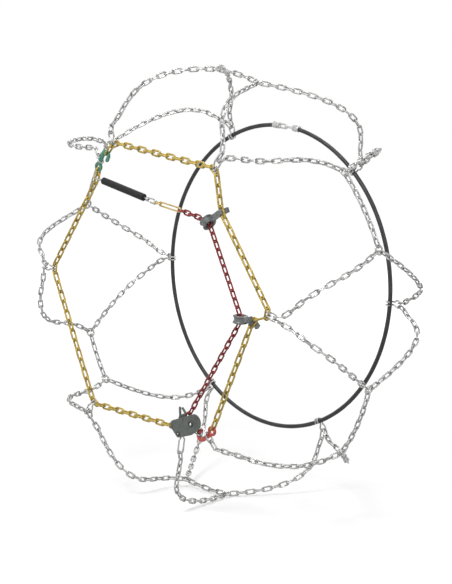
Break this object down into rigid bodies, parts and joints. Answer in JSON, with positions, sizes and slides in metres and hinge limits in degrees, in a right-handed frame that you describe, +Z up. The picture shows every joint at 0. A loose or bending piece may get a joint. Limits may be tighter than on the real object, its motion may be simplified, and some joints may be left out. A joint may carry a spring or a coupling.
{
  "type": "tire snow chains",
  "caption": "Net of steel chain that wraps a car tyre, with tread rings, an outer side chain closed by hooks, a tensioner, guided tension chain, rubber tail and inner hoop.",
  "frame": {"origin": "centre of the wheel that the net is fitted to", "axes": "+Z up, +Y along the wheel's axle toward the car, so the outer side chain faces -Y; +X to the right when seen from outside"},
  "size_m": [0.6822, 0.2853, 0.6977],
  "materials": {
    "cross_chain_zinc": "galvanised, softly worn",
    "side_chain_yellow": "yellow coating over steel wire",
    "tension_chain_red": "dark red coating over steel wire",
    "green_hook": "green coated forging",
    "red_hook": "red coated forging",
    "ring_zinc": "galvanised ring",
    "connector_zinc": "bright zinc wire",
    "tensioner_plate": "dark grey-green coated plate",
    "rivet_steel": "bright rivet",
    "lever_steel": "plain steel lever",
    "guide_grey": "grey cast guide",
    "tail_link_gold": "zinc yellow wire",
    "rubber_black": "matt black rubber",
    "hoop_cable": "plastic-sheathed steel cable",
    "ferrule_steel": "zinc plated ferrule"
  },
  "bodies": {
    "net": {"front_cross_chain_01": "cross_chain_zinc", "front_cross_chain_02": "cross_chain_zinc", "front_cross_chain_03": "cross_chain_zinc", "front_cross_chain_04": "cross_chain_zinc", "front_cross_chain_05": "cross_chain_zinc", "front_cross_chain_06": "cross_chain_zinc", "front_cross_chain_07": "cross_chain_zinc", "front_cross_chain_08": "cross_chain_zinc", "front_cross_chain_09": "cross_chain_zinc", "front_cross_chain_10": "cross_chain_zinc", "front_cross_chain_11": "cross_chain_zinc", "front_cross_chain_12": "cross_chain_zinc", "rear_cross_chain_01": "cross_chain_zinc", "rear_cross_chain_02": "cross_chain_zinc", "rear_cross_chain_03": "cross_chain_zinc", "rear_cross_chain_04": "cross_chain_zinc", "rear_cross_chain_05": "cross_chain_zinc", "rear_cross_chain_06": "cross_chain_zinc", "rear_cross_chain_07": "cross_chain_zinc", "rear_cross_chain_08": "cross_chain_zinc", "rear_cross_chain_09": "cross_chain_zinc", "rear_cross_chain_10": "cross_chain_zinc", "rear_cross_chain_11": "cross_chain_zinc", "rear_cross_chain_12": "cross_chain_zinc", "tread_chain_1": "cross_chain_zinc", "tread_chain_2": "cross_chain_zinc", "tread_chain_3": "cross_chain_zinc", "tread_chain_4": "cross_chain_zinc", "tread_chain_5": "cross_chain_zinc", "tread_chain_6": "cross_chain_zinc", "side_chain_top": "side_chain_yellow", "side_chain_upper_right": "side_chain_yellow", "side_chain_lower_right": "side_chain_yellow", "side_chain_bottom": "side_chain_yellow", "side_chain_lower_left": "side_chain_yellow", "side_chain_upper_left": "side_chain_yellow", "closing_link": "side_chain_yellow", "tension_chain_lower": "tension_chain_red", "tension_chain_middle": "tension_chain_red", "tension_chain_upper": "tension_chain_red", "green_hook": "green_hook", "red_hook": "red_hook", "tread_rings": "ring_zinc", "front_connectors": "connector_zinc", "rear_connectors": "connector_zinc", "tensioner_front_plate": "tensioner_plate", "tensioner_back_plate": "tensioner_plate", "tensioner_rivets": "rivet_steel", "tensioner_bail": "connector_zinc", "lower_guide": "guide_grey", "upper_guide": "guide_grey", "tail_long_link": "tail_link_gold", "tail_loop": "tail_link_gold", "tail_swivel_eye": "connector_zinc", "tail_rubber": "rubber_black", "tail_hook": "connector_zinc", "inner_hoop": "hoop_cable", "hoop_coupling_eye": "ferrule_steel", "hoop_coupling_hook": "ferrule_steel"},
    "locking_lever": {"tensioner_lever": "lever_steel"}
  },
  "joints": [
    {"name": "locking_lever_turn", "type": "hinge", "parent": "net", "child": "locking_lever", "pos_m": [0.0414, -0.131, -0.2061], "axis": [0, -1, 0], "range_deg": [0, 18]}
  ]
}
